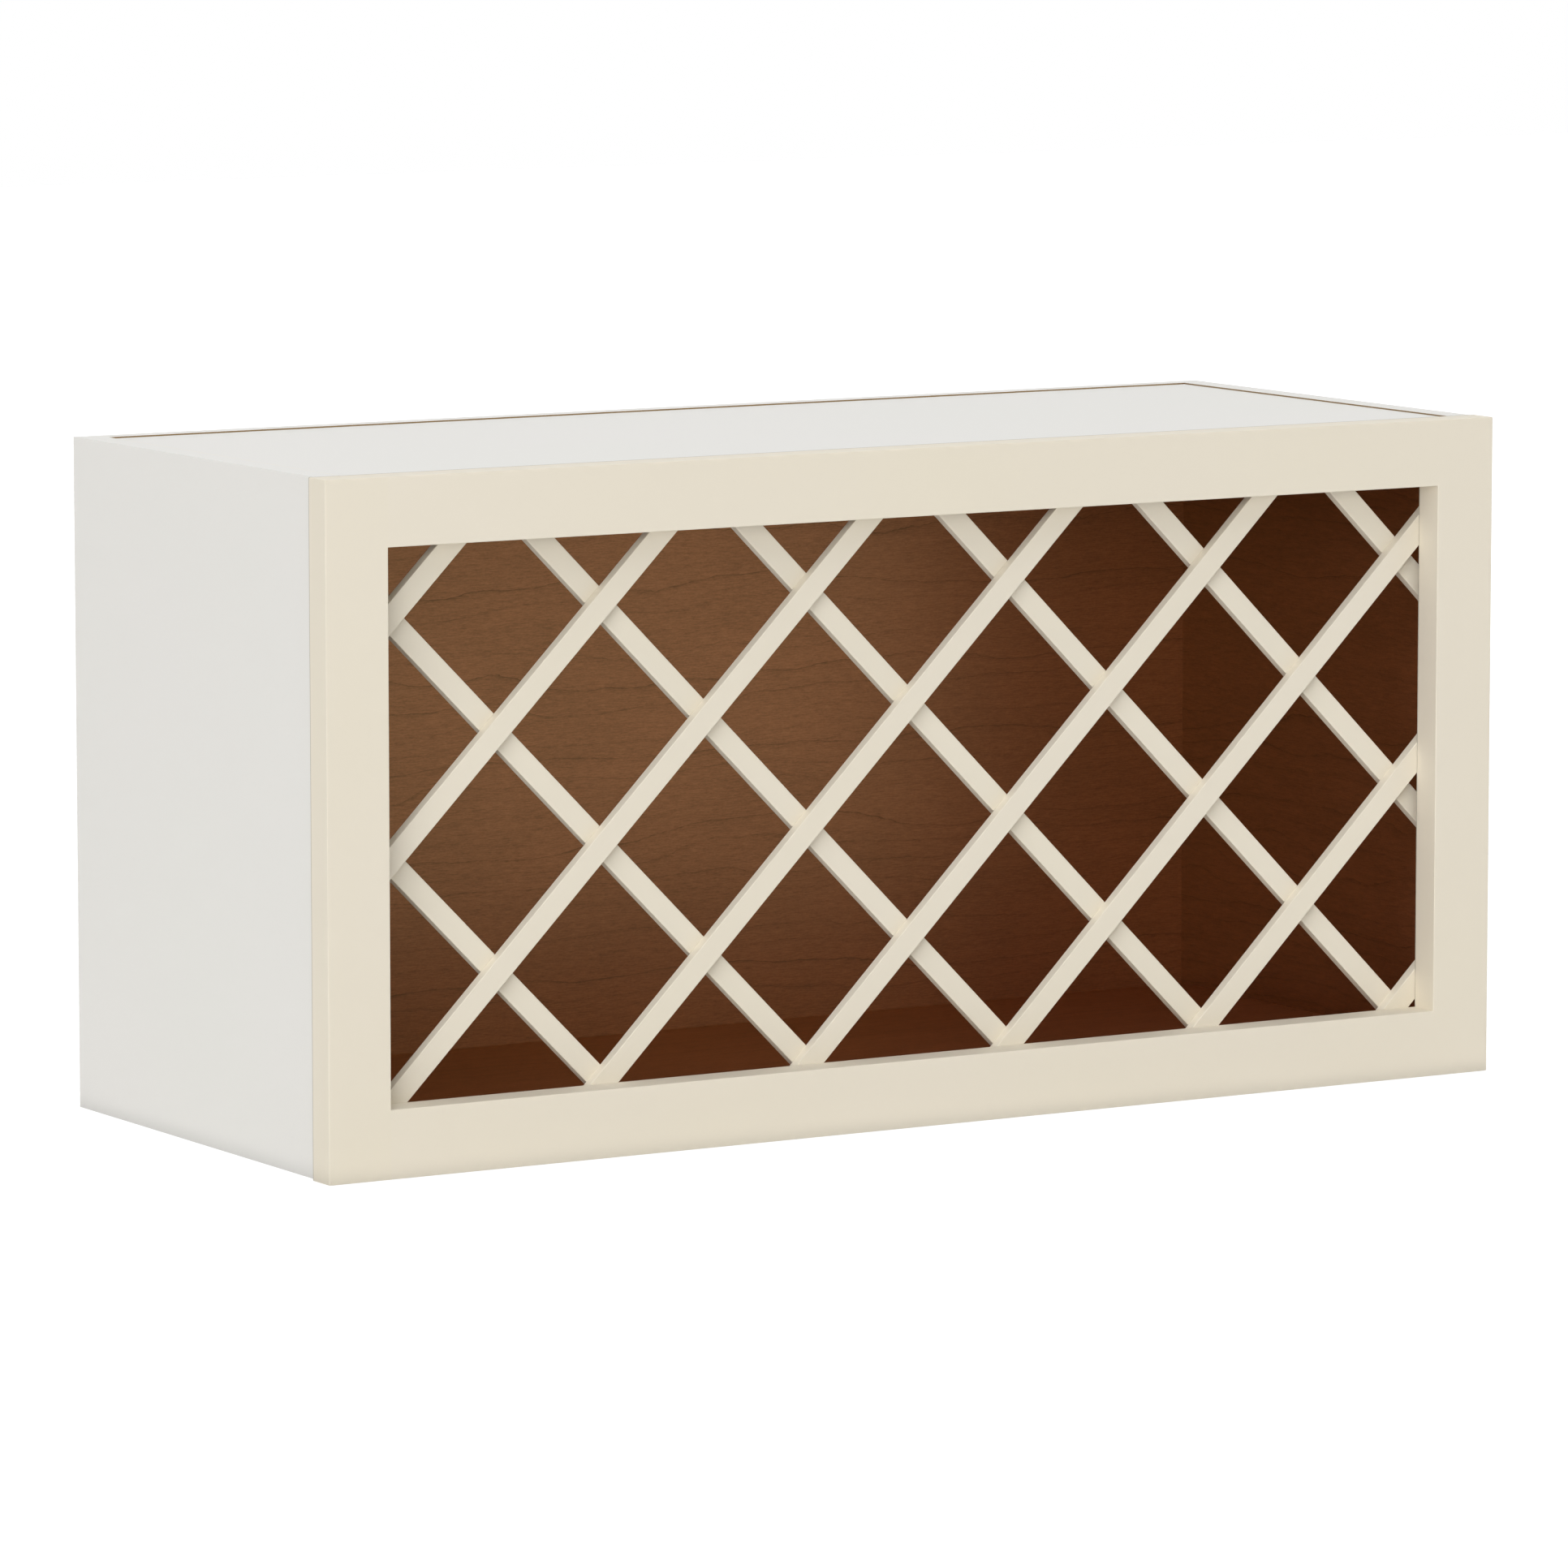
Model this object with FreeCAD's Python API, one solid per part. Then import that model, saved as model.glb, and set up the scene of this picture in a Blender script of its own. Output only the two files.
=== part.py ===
import FreeCAD, Part
import math
import os

# Wine rack wall cabinet: a painted face frame on a veneered box, with a diagonal bottle lattice
# held on the back of the frame. Millimetres. X runs left to right seen from the front, the front
# faces -Y, Z is up, and the origin lies under the middle of the cabinet on its bottom face.

# Outside of the cabinet
cabinet_width = 762.0
cabinet_height = 381.0
cabinet_depth = 304.8

# Face frame of two upright stiles with two rails between them
frame_thickness = 19.05
stile_width = 38.1
top_rail_height = 38.1
bottom_rail_height = 38.1
frame_edge_radius = 0.5
frame_overhang = 3.175

# Box of boards, each thickness with its inside veneer counted in
side_thickness = 15.875
deck_thickness = 15.875
back_thickness = 12.7
veneer_thickness = 0.6
top_recess = 0.8

# Lattice of two layers of strips that cross in staggered rows and columns. The outermost
# crossings lie inside the lattice's outline by these insets, which sets the strips at 45 degrees.
crossing_rows = 5
crossing_columns = 11
side_crossing_inset = 30.35
bottom_crossing_inset = 22.0
top_crossing_inset = 59.97
strip_width = 12.7
strip_thickness = 6.35
strip_edge_radius = 0.4
lattice_clearance = 1.0
parallel_share = 0.99

# Beech dowels and their bores
dowel_diameter = 8.0
dowel_fit = 0.1
dowel_end_gap = 1.0
dowel_chamfer = 0.8
frame_dowel_depth = 20.0
frame_dowel_spacing = 16.0
side_dowel_depth = 9.0
deck_dowel_depth = 20.0
frame_back_dowel_depth = 9.0
board_edge_dowel_depth = 16.0
side_dowel_height_shares = (0.2, 0.5, 0.8)
deck_dowel_width_shares = (-0.375, -0.125, 0.125, 0.375)
case_dowel_depth_shares = (0.15, 0.5, 0.85)

# Headed brads that pin the lattice
brad_diameter = 1.2
brad_head_diameter = 2.4
brad_head_height = 0.6
brad_point_length = 1.5
brad_length = 11.0
brad_fit = 0.03
tip_radius_share = 0.25
frame_brad_share = 0.7

# Countersunk wood screws through the back board
screw_diameter = 3.5
screw_head_diameter = 7.0
screw_head_height = 2.2
screw_length = 30.0
screw_point_length = 4.0
screw_fit = 0.05
screw_sinking = 0.3
screw_slot_width = 0.9
screw_slot_length = 4.0
screw_slot_depth = 1.2
screw_width_shares = (-0.46, -0.23, 0.0, 0.23, 0.46)

# Two holes in the back board for the screws into the wall studs
wall_hole_diameter = 5.0
wall_hole_spacing = 406.4
wall_hole_drop = 11.0

# One overrun past a face for every cut
overrun = 2.0

# Planes of the cabinet
half_width = cabinet_width / 2
front_y = -cabinet_depth / 2
frame_back_y = front_y + frame_thickness
rear_y = cabinet_depth / 2
back_inside_y = rear_y - back_thickness
opening_half_width = half_width - stile_width
opening_low_z = bottom_rail_height
opening_high_z = cabinet_height - top_rail_height
case_half_width = half_width - frame_overhang
inside_half_width = case_half_width - side_thickness
floor_z = deck_thickness
top_panel_z = cabinet_height - top_recess
ceiling_z = top_panel_z - deck_thickness

# Planes and pitch of the lattice
front_strip_y = frame_back_y
back_strip_y = front_strip_y + strip_thickness
lattice_back_y = back_strip_y + strip_thickness
lattice_half_width = inside_half_width - lattice_clearance
lattice_low_z = floor_z + lattice_clearance
lattice_high_z = ceiling_z - lattice_clearance
end_column = (crossing_columns - 1) // 2
column_step = (lattice_half_width - side_crossing_inset) / end_column
bottom_crossing_z = lattice_low_z + bottom_crossing_inset
row_step = (lattice_high_z - top_crossing_inset - bottom_crossing_z) / (crossing_rows - 1)
strip_pitch = 2 * column_step * row_step / math.hypot(column_step, row_step)
bottle_cell = strip_pitch - strip_width

X_AXIS = FreeCAD.Vector(1, 0, 0)
Y_AXIS = FreeCAD.Vector(0, 1, 0)
Z_AXIS = FreeCAD.Vector(0, 0, 1)


def board(low_x, high_x, low_y, high_y, low_z, high_z):
    """A rectangular board between two corners."""
    corner = FreeCAD.Vector(low_x, low_y, low_z)
    return Part.makeBox(high_x - low_x, high_y - low_y, high_z - low_z, corner)


def cut_all(shape, tools):
    """The shape with every tool taken out of it."""
    return shape.cut(Part.makeCompound(tools)) if tools else shape


def edges_along(shape, axis):
    """The straight edges of a board that run along one axis."""
    found = []
    for edge in shape.Edges:
        ends = [vertex.Point for vertex in edge.Vertexes]
        along = (ends[1] - ends[0]).normalize()
        if abs(along.dot(axis)) > parallel_share:
            found.append(edge)
    return found


# Dowels and bores. A site is a point on the joint's face, the way into the second piece,
# and how deep the dowel goes ahead into it and back into the first piece.

def frame_dowel_sites():
    """Two dowels in each end of both rails, going out into the stiles."""
    sites = []
    middle_y = (front_y + frame_back_y) / 2
    rail_middles = (bottom_rail_height / 2, cabinet_height - top_rail_height / 2)
    for side in (-1, 1):
        for rail_z in rail_middles:
            for offset in (-frame_dowel_spacing / 2, frame_dowel_spacing / 2):
                point = FreeCAD.Vector(side * opening_half_width, middle_y, rail_z + offset)
                sites.append((point, X_AXIS * side, frame_dowel_depth, frame_dowel_depth))
    return sites


def case_dowel_sites():
    """Three dowels in each end of the top and bottom panels, going out into the sides."""
    sites = []
    panel_middles = (floor_z - deck_thickness / 2, top_panel_z - deck_thickness / 2)
    for side in (-1, 1):
        for panel_z in panel_middles:
            for share in case_dowel_depth_shares:
                y = frame_back_y + share * (back_inside_y - frame_back_y)
                point = FreeCAD.Vector(side * inside_half_width, y, panel_z)
                sites.append((point, X_AXIS * side, side_dowel_depth, deck_dowel_depth))
    return sites


def frame_back_dowel_sites():
    """Dowels in the front edges of the box, going forward into the back of the frame."""
    sites = []
    side_middle_x = case_half_width - side_thickness / 2
    points = []
    for side in (-1, 1):
        for share in side_dowel_height_shares:
            points.append((side * side_middle_x, share * cabinet_height))
    for panel_z in (floor_z - deck_thickness / 2, top_panel_z - deck_thickness / 2):
        for share in deck_dowel_width_shares:
            points.append((share * 2 * inside_half_width, panel_z))
    for x, z in points:
        point = FreeCAD.Vector(x, frame_back_y, z)
        sites.append((point, Y_AXIS * -1, frame_back_dowel_depth, board_edge_dowel_depth))
    return sites


def dowel(site):
    """One beech dowel with chamfered ends."""
    point, way, ahead, back = site
    start = point - way * back
    pin = Part.makeCylinder(dowel_diameter / 2, ahead + back, start, way)
    rims = [edge for edge in pin.Edges if edge.Curve.TypeId == "Part::GeomCircle"]
    return pin.makeChamfer(dowel_chamfer, rims)


def dowel_bores(sites):
    """The bores that the dowels of these sites sit in, each a little longer than its dowel."""
    bores = []
    for point, way, ahead, back in sites:
        start = point - way * (back + dowel_end_gap)
        length = ahead + back + dowel_end_gap * 2
        bores.append(Part.makeCylinder(dowel_diameter / 2 + dowel_fit, length, start, way))
    return bores


# Lattice lines. Each line is a point on it and its direction in the plane of the lattice, and
# passes the bottom row of crossings at a whole column number, counted from the middle.

def crossing(column, row):
    """Where two strips' centre lines cross, by column from the middle and row from the bottom."""
    return FreeCAD.Vector(column * column_step, 0, bottom_crossing_z + row * row_step)


def crossing_points():
    """Every crossing of the two layers, every second column in each row."""
    points = []
    for row in range(crossing_rows):
        for column in range(-end_column + row % 2, end_column + 1, 2):
            points.append(crossing(column, row))
    return points


def lattice_lines(slope):
    """Centre lines of one layer's strips, left to right: slope 1 rises to the right, -1 falls."""
    direction = FreeCAD.Vector(column_step, 0, slope * row_step).normalize()
    rising_columns = range(-end_column - crossing_rows + 1, end_column + 1, 2)
    columns = [slope * column for column in rising_columns][::slope]
    return [(crossing(column, 0), direction) for column in columns]


def chord_ends(point, direction, half_x, low_z, high_z):
    """Where a lattice line enters and leaves a rectangle, or None if it misses it."""
    x_ends = sorted(((-half_x - point.x) / direction.x, (half_x - point.x) / direction.x))
    z_ends = sorted(((low_z - point.z) / direction.z, (high_z - point.z) / direction.z))
    start = max(x_ends[0], z_ends[0])
    end = min(x_ends[1], z_ends[1])
    if start >= end:
        return None
    return point + direction * start, point + direction * end


def frame_brad_points():
    """Where the front strips are pinned to the frame, between its opening and the box."""
    half_x = inside_half_width + frame_brad_share * (opening_half_width - inside_half_width)
    low_z = floor_z + frame_brad_share * (opening_low_z - floor_z)
    high_z = ceiling_z + frame_brad_share * (opening_high_z - ceiling_z)
    points = []
    for point, direction in lattice_lines(1):
        ends = chord_ends(point, direction, half_x, low_z, high_z)
        points.extend(ends or ())
    return points


def brad(point, head_y, fit):
    """A headed brad driven forward from head_y, or its bore when a fit is given."""
    top = FreeCAD.Vector(point.x, head_y + fit, point.z)
    head = Part.makeCylinder(brad_head_diameter / 2 + fit, brad_head_height + fit * 2, top, -Y_AXIS)
    shank_radius = brad_diameter / 2 + fit
    shank_length = brad_length - brad_point_length
    shank = Part.makeCylinder(shank_radius, shank_length, top, -Y_AXIS)
    tip_start = top - Y_AXIS * shank_length
    tip_radius = shank_radius * tip_radius_share
    tip = Part.makeCone(shank_radius, tip_radius, brad_point_length + fit, tip_start, -Y_AXIS)
    return head.fuse(shank).fuse(tip).removeSplitter()


def crossing_brads(fit=0):
    """Brads from the back strips into the front strips at every crossing."""
    return [brad(point, lattice_back_y, fit) for point in crossing_points()]


def frame_brads(fit=0):
    """Brads from the ends of the front strips into the back of the frame."""
    return [brad(point, back_strip_y, fit) for point in frame_brad_points()]


# Face frame

def arris_cutter(side, edge_y, inwards):
    """What rounding takes off a stile's inner edge, along the opening only."""
    edge_x = side * opening_half_width
    centre_x = edge_x + side * frame_edge_radius
    centre_y = edge_y + inwards * frame_edge_radius
    square = board(min(edge_x - side * overrun, centre_x), max(edge_x - side * overrun, centre_x),
                   min(edge_y - inwards * overrun, centre_y), max(edge_y - inwards * overrun, centre_y),
                   opening_low_z, opening_high_z)
    base = FreeCAD.Vector(centre_x, centre_y, opening_low_z)
    rounding = Part.makeCylinder(frame_edge_radius, opening_high_z - opening_low_z, base, Z_AXIS)
    return square.cut(rounding)


def stile(side):
    """An upright of the face frame, with its outside edges and its opening's edges rounded."""
    low_x, high_x = sorted((side * half_width, side * opening_half_width))
    body = board(low_x, high_x, front_y, frame_back_y, 0, cabinet_height)
    inner_x = side * opening_half_width
    outer = [edge for edge in body.Edges if abs(edge.CenterOfMass.x - inner_x) > frame_edge_radius]
    body = body.makeFillet(frame_edge_radius, outer)
    cutters = [arris_cutter(side, front_y, 1), arris_cutter(side, frame_back_y, -1)]
    bores = dowel_bores(frame_dowel_sites() + frame_back_dowel_sites())
    return cut_all(body, cutters + bores + frame_brads(brad_fit))


def rail(low_z, high_z):
    """A cross piece of the face frame between the stiles, its four long edges rounded."""
    body = board(-opening_half_width, opening_half_width, front_y, frame_back_y, low_z, high_z)
    body = body.makeFillet(frame_edge_radius, edges_along(body, X_AXIS))
    bores = dowel_bores(frame_dowel_sites() + frame_back_dowel_sites())
    return cut_all(body, bores + frame_brads(brad_fit))


# Box

def side_panel(side):
    """A side board behind the face frame, without its inside veneer."""
    inner_x = side * (inside_half_width + veneer_thickness)
    low_x, high_x = sorted((side * case_half_width, inner_x))
    body = board(low_x, high_x, frame_back_y, rear_y, 0, cabinet_height)
    return cut_all(body, dowel_bores(case_dowel_sites() + frame_back_dowel_sites()))


def side_veneer(side):
    """The veneer on the inside of a side board, bored with it."""
    outer_x = side * (inside_half_width + veneer_thickness)
    low_x, high_x = sorted((side * inside_half_width, outer_x))
    body = board(low_x, high_x, frame_back_y, rear_y, 0, cabinet_height)
    return cut_all(body, dowel_bores(case_dowel_sites()))


def deck(low_z, high_z):
    """The top or the bottom board between the sides, without its inside veneer."""
    body = board(-inside_half_width, inside_half_width, frame_back_y, back_inside_y, low_z, high_z)
    bores = dowel_bores(case_dowel_sites() + frame_back_dowel_sites())
    return cut_all(body, bores + back_screws(screw_fit))


def deck_veneer(low_z, high_z):
    """The veneer on the inside of the top or the bottom board."""
    return board(-inside_half_width, inside_half_width, frame_back_y, back_inside_y, low_z, high_z)


def wall_holes():
    """Cutters for the two clearance holes for the wall screws."""
    holes = []
    for side in (-1, 1):
        x = side * wall_hole_spacing / 2
        start = FreeCAD.Vector(x, back_inside_y - overrun, ceiling_z - wall_hole_drop)
        length = back_thickness + overrun * 2
        holes.append(Part.makeCylinder(wall_hole_diameter / 2, length, start, Y_AXIS))
    return holes


def back_panel():
    """The full-height back board between the sides, without its inside veneer."""
    inner_y = back_inside_y + veneer_thickness
    body = board(-inside_half_width, inside_half_width, inner_y, rear_y, 0, cabinet_height)
    return cut_all(body, wall_holes() + back_screws(screw_fit))


def back_veneer():
    """The veneer on the inside of the back board, bored with it."""
    outer_y = back_inside_y + veneer_thickness
    body = board(-inside_half_width, inside_half_width, back_inside_y, outer_y, 0, cabinet_height)
    return cut_all(body, wall_holes() + back_screws(screw_fit))


def back_screw(x, z, fit):
    """A countersunk screw driven forward through the back, or its hole when a fit is given."""
    top = FreeCAD.Vector(x, rear_y - screw_sinking, z)
    head_radius = screw_head_diameter / 2 + fit
    shank_radius = screw_diameter / 2 + fit
    head = Part.makeCone(head_radius, shank_radius, screw_head_height, top, -Y_AXIS)
    shank_length = screw_length - screw_point_length
    shank = Part.makeCylinder(shank_radius, shank_length, top, -Y_AXIS)
    tip_start = top - Y_AXIS * shank_length
    tip_radius = shank_radius * tip_radius_share
    tip = Part.makeCone(shank_radius, tip_radius, screw_point_length + fit, tip_start, -Y_AXIS)
    body = head.fuse(shank).fuse(tip).removeSplitter()
    if fit:
        mouth = Part.makeCylinder(head_radius, screw_sinking + overrun, top, Y_AXIS)
        return body.fuse(mouth).removeSplitter()
    return body.cut(screw_slots(x, z))


def screw_slots(x, z):
    """The cross that a driver turns a screw by."""
    low_y = rear_y - screw_sinking - screw_slot_depth
    half_long = screw_slot_length / 2
    half_wide = screw_slot_width / 2
    level = board(x - half_long, x + half_long, low_y, rear_y, z - half_wide, z + half_wide)
    upright = board(x - half_wide, x + half_wide, low_y, rear_y, z - half_long, z + half_long)
    return level.fuse(upright)


def back_screws(fit=0):
    """Screws through the back into the rear edges of the top and bottom boards."""
    screws = []
    for panel_z in (floor_z - deck_thickness / 2, top_panel_z - deck_thickness / 2):
        for share in screw_width_shares:
            screws.append(back_screw(share * 2 * inside_half_width, panel_z, fit))
    return screws


# Lattice strips

def strip(point, direction, low_y, bores):
    """One lattice strip, its long edges eased and its ends cut to the lattice's outline."""
    ends = chord_ends(point, direction, lattice_half_width, lattice_low_z, lattice_high_z)
    middle = (ends[0] + ends[1]) / 2
    half_length = (ends[1] - ends[0]).Length / 2 + strip_width * 2
    bar = board(middle.x - half_length, middle.x + half_length, low_y, low_y + strip_thickness,
                middle.z - strip_width / 2, middle.z + strip_width / 2)
    bar = bar.makeFillet(strip_edge_radius, edges_along(bar, X_AXIS))
    turn = -math.degrees(math.atan2(direction.z, direction.x))
    bar.rotate(middle, Y_AXIS, turn)
    outline = board(-lattice_half_width, lattice_half_width, low_y - overrun,
                    low_y + strip_thickness + overrun, lattice_low_z, lattice_high_z)
    return cut_all(bar.common(outline), bores)


def save(name, shape):
    """Write one node's solids and say what they hold."""
    shape.exportStep("parts/" + name + ".step")
    print(name, len(shape.Solids), "solids", round(shape.Volume), "mm3", "valid", shape.isValid())


def build():
    """Build every node and write it."""
    os.makedirs("parts", exist_ok=True)
    save("left_stile", stile(-1))
    save("right_stile", stile(1))
    save("bottom_rail", rail(0, opening_low_z))
    save("top_rail", rail(opening_high_z, cabinet_height))
    save("left_side_panel", side_panel(-1))
    save("right_side_panel", side_panel(1))
    save("left_side_veneer", side_veneer(-1))
    save("right_side_veneer", side_veneer(1))
    save("bottom_panel", deck(0, floor_z - veneer_thickness))
    save("bottom_veneer", deck_veneer(floor_z - veneer_thickness, floor_z))
    save("top_panel", deck(ceiling_z + veneer_thickness, top_panel_z))
    save("top_veneer", deck_veneer(ceiling_z, ceiling_z + veneer_thickness))
    save("back_panel", back_panel())
    save("back_veneer", back_veneer())
    front_bores = crossing_brads(brad_fit) + frame_brads(brad_fit)
    for number, (point, direction) in enumerate(lattice_lines(1), 1):
        save("lattice_front_strip_" + str(number), strip(point, direction, front_strip_y, front_bores))
    back_bores = crossing_brads(brad_fit)
    for number, (point, direction) in enumerate(lattice_lines(-1), 1):
        save("lattice_back_strip_" + str(number), strip(point, direction, back_strip_y, back_bores))
    save("frame_dowels", Part.makeCompound([dowel(site) for site in frame_dowel_sites()]))
    save("case_dowels", Part.makeCompound([dowel(site) for site in case_dowel_sites()]))
    save("frame_back_dowels", Part.makeCompound([dowel(site) for site in frame_back_dowel_sites()]))
    save("lattice_brads", Part.makeCompound(crossing_brads() + frame_brads()))
    save("back_screws", Part.makeCompound(back_screws()))
    print("clear bottle cell", round(bottle_cell, 2), "mm")


build()
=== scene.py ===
"""Wine rack wall cabinet: a cream painted face frame with a diagonal bottle lattice behind it, on an
off-white box that is lined with stained cherry veneer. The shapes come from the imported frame; this
script gives every piece its finish and sets the floor, the light and the camera. Lengths are metres,
apart from the sizes of patterns, which are millimetres.
"""

import logging
import math
from dataclasses import dataclass
from enum import Enum
from typing import Mapping, Optional, Sequence, Union

import bmesh
import bpy
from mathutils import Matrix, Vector


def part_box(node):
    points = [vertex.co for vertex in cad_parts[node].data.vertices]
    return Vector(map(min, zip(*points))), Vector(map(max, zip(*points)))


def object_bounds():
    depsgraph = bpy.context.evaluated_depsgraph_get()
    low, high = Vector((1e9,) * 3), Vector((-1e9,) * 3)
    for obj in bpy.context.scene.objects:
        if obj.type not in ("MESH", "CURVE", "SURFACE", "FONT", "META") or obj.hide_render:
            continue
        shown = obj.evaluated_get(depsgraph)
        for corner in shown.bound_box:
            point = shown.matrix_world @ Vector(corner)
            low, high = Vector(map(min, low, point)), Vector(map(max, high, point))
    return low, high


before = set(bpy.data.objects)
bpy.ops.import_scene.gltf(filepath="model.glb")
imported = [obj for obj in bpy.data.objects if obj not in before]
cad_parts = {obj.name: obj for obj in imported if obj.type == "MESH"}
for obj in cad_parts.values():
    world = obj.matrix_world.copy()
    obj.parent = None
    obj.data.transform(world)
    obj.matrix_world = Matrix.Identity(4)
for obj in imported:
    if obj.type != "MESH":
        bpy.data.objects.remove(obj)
CAD_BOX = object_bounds()

MM = 0.001
WHITE = (1.0, 1.0, 1.0, 1.0)
RESIN_IOR = 1.5
LOG = logging.getLogger("wine_rack_cabinet")

MATH = "ShaderNodeMath"
# A Mix node's colour sockets share their names with its number sockets, so they go by number.
MIX_FIRST, MIX_SECOND, MIX_RESULT = 6, 7, 2
# A noise node's values lie round this one.
NOISE_MIDDLE = 0.5
# A seed moves a board's figure by these shares of it along, across and into the board.
SEED_SHARES = (1.0, 0.37, 0.61)
# A face points a way when its normal's part in that way is over this share.
FACING_SHARE = 0.5
# A camera that is turned by this many degrees about X looks level.
LEVEL_TURN = 90.0

# A node stands for its first output.
Source = Union[bpy.types.NodeSocket, bpy.types.Node]
Setting = Union[str, float, int, bool, Sequence[float], Source]


def linear(hex_colour: str) -> tuple[float, float, float, float]:
    """Turns an sRGB hex colour into the linear colour that a shader wants.

    Args:
        hex_colour: Six hex digits, red first.

    Returns:
        Red, green, blue and an alpha of one.
    """
    # The numbers are those of the sRGB standard's own curve.
    parts = [int(hex_colour[place:place + 2], 16) / 255 for place in (0, 2, 4)]
    red, green, blue = [
        part / 12.92 if part <= 0.04045 else ((part + 0.055) / 1.055) ** 2.4 for part in parts]
    return red, green, blue, 1.0


def add(tree: bpy.types.NodeTree, kind: str,
        inputs: Union[Mapping[Union[str, int], Setting], Sequence[Setting]] = (),
        **settings: Setting) -> bpy.types.Node:
    """Adds one node with its settings and links.

    Args:
        tree: The node tree that gets the node.
        kind: The node's type name.
        inputs: Its inputs in order, or by name or number. A socket or node is linked, all else is set.
        settings: Attributes of the node itself, such as its operation.

    Returns:
        The new node.
    """
    node = tree.nodes.new(kind)
    for name, value in settings.items():
        setattr(node, name, value)
    for name, value in (inputs if isinstance(inputs, Mapping) else dict(enumerate(inputs))).items():
        if isinstance(value, bpy.types.Node):
            value = value.outputs[0]
        if isinstance(value, bpy.types.NodeSocket):
            tree.links.new(value, node.inputs[name])
        else:
            node.inputs[name].default_value = value
    return node


class Grain(Enum):
    """Which way a board's fibres run, as the turn that brings them to X and the face to the XY plane."""

    ACROSS_UPRIGHT = (-90, 0, 0)
    ACROSS_FLAT = (0, 0, 0)
    DEEP_UPRIGHT = (-90, -90, 0)
    UPWARD = (-90, 0, -90)
    RISING = (-90, 0, -45)
    FALLING = (-90, 0, 45)


def board_coordinates(tree: bpy.types.NodeTree, grain: Grain, seed: float = 0.0) -> Source:
    """Gives a board's own coordinates: X along the fibres, Y across them in the face, in metres.

    Args:
        tree: The material's node tree.
        grain: Which way the fibres run.
        seed: A shift in metres that sets this board's figure apart from the others'.

    Returns:
        The coordinates.
    """
    place = add(tree, "ShaderNodeTexCoord").outputs["Object"]
    turn = tuple(math.radians(angle) for angle in grain.value)
    shift = tuple(seed * share for share in SEED_SHARES)
    return add(tree, "ShaderNodeMapping", {"Vector": place, "Rotation": turn, "Location": shift})


def stretched(tree: bpy.types.NodeTree, place: Source, along: float, across: float) -> Source:
    """Scales coordinates so that one unit is one grain of a stretched pattern.

    Args:
        tree: The material's node tree.
        place: The board's coordinates.
        along: The pattern's length along the fibres in millimetres.
        across: Its width across them in millimetres.

    Returns:
        The scaled coordinates.
    """
    scale = (1 / (along * MM), 1 / (across * MM), 1 / (across * MM))
    return add(tree, "ShaderNodeVectorMath", (place, scale), operation="MULTIPLY")


def two_toned(tree: bpy.types.NodeTree, pattern: Source, swing: float, middle: float, first: str,
              second: str) -> Source:
    """Mixes two colours by a pattern that lies round nought.

    Args:
        tree: The material's node tree.
        pattern: The pattern.
        swing: How strongly it changes the second colour's share.
        middle: The second colour's share where the pattern is nought.
        first: The first colour in hex.
        second: The second colour in hex.

    Returns:
        The colour.
    """
    share = add(tree, MATH, (pattern, swing, middle), operation="MULTIPLY_ADD")
    return add(tree, "ShaderNodeMix", {
        "Factor": share, MIX_FIRST: linear(first), MIX_SECOND: linear(second)},
        data_type="RGBA").outputs[MIX_RESULT]


def new_material(name: str) -> tuple[bpy.types.Material, bpy.types.NodeTree]:
    """Starts a material.

    Args:
        name: The material's name.

    Returns:
        The material and its empty tree.
    """
    material = bpy.data.materials.new(name)
    material.use_nodes = True
    material.node_tree.nodes.clear()
    return material, material.node_tree


def shows_itself(tree: bpy.types.NodeTree, path: bpy.types.Node) -> Source:
    """Tells the rays that show a surface from those by which it lights others.

    Args:
        tree: The node tree.
        path: The tree's light path.

    Returns:
        One for the camera, for gloss and for glass, else nought.
    """
    mirrored = add(tree, MATH, (path.outputs["Is Glossy Ray"], path.outputs["Is Transmission Ray"]),
                   operation="MAXIMUM")
    return add(tree, MATH, (path.outputs["Is Camera Ray"], mirrored), operation="MAXIMUM")


@dataclass(frozen=True)
class Streaks:
    """A noise whose grains lie along the fibres, with its length and width in millimetres.

    Its weight is how much of it goes into a sum.
    """

    length: float
    width: float
    octaves: float
    weight: float = 1.0

    def draw(self, tree: bpy.types.NodeTree, place: Source) -> Source:
        """Draws the noise.

        Args:
            tree: The material's node tree.
            place: The board's coordinates.

        Returns:
            The noise, from about -0.5 to 0.5.
        """
        scaled = stretched(tree, place, self.length, self.width)
        value = add(tree, "ShaderNodeTexNoise", {"Vector": scaled, "Scale": 1.0, "Detail": self.octaves})
        return add(tree, MATH, (value, NOISE_MIDDLE), operation="SUBTRACT")

    def add_to(self, tree: bpy.types.NodeTree, place: Source, base: Union[Source, float],
               unit: float = 1.0) -> Source:
        """Adds the noise to a value, by its weight.

        Args:
            tree: The material's node tree.
            place: The board's coordinates.
            base: What the noise is added to.
            unit: The unit that the weight counts in.

        Returns:
            The sum.
        """
        noise = self.draw(tree, place)
        return add(tree, MATH, (noise, self.weight * unit, base), operation="MULTIPLY_ADD")


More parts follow.
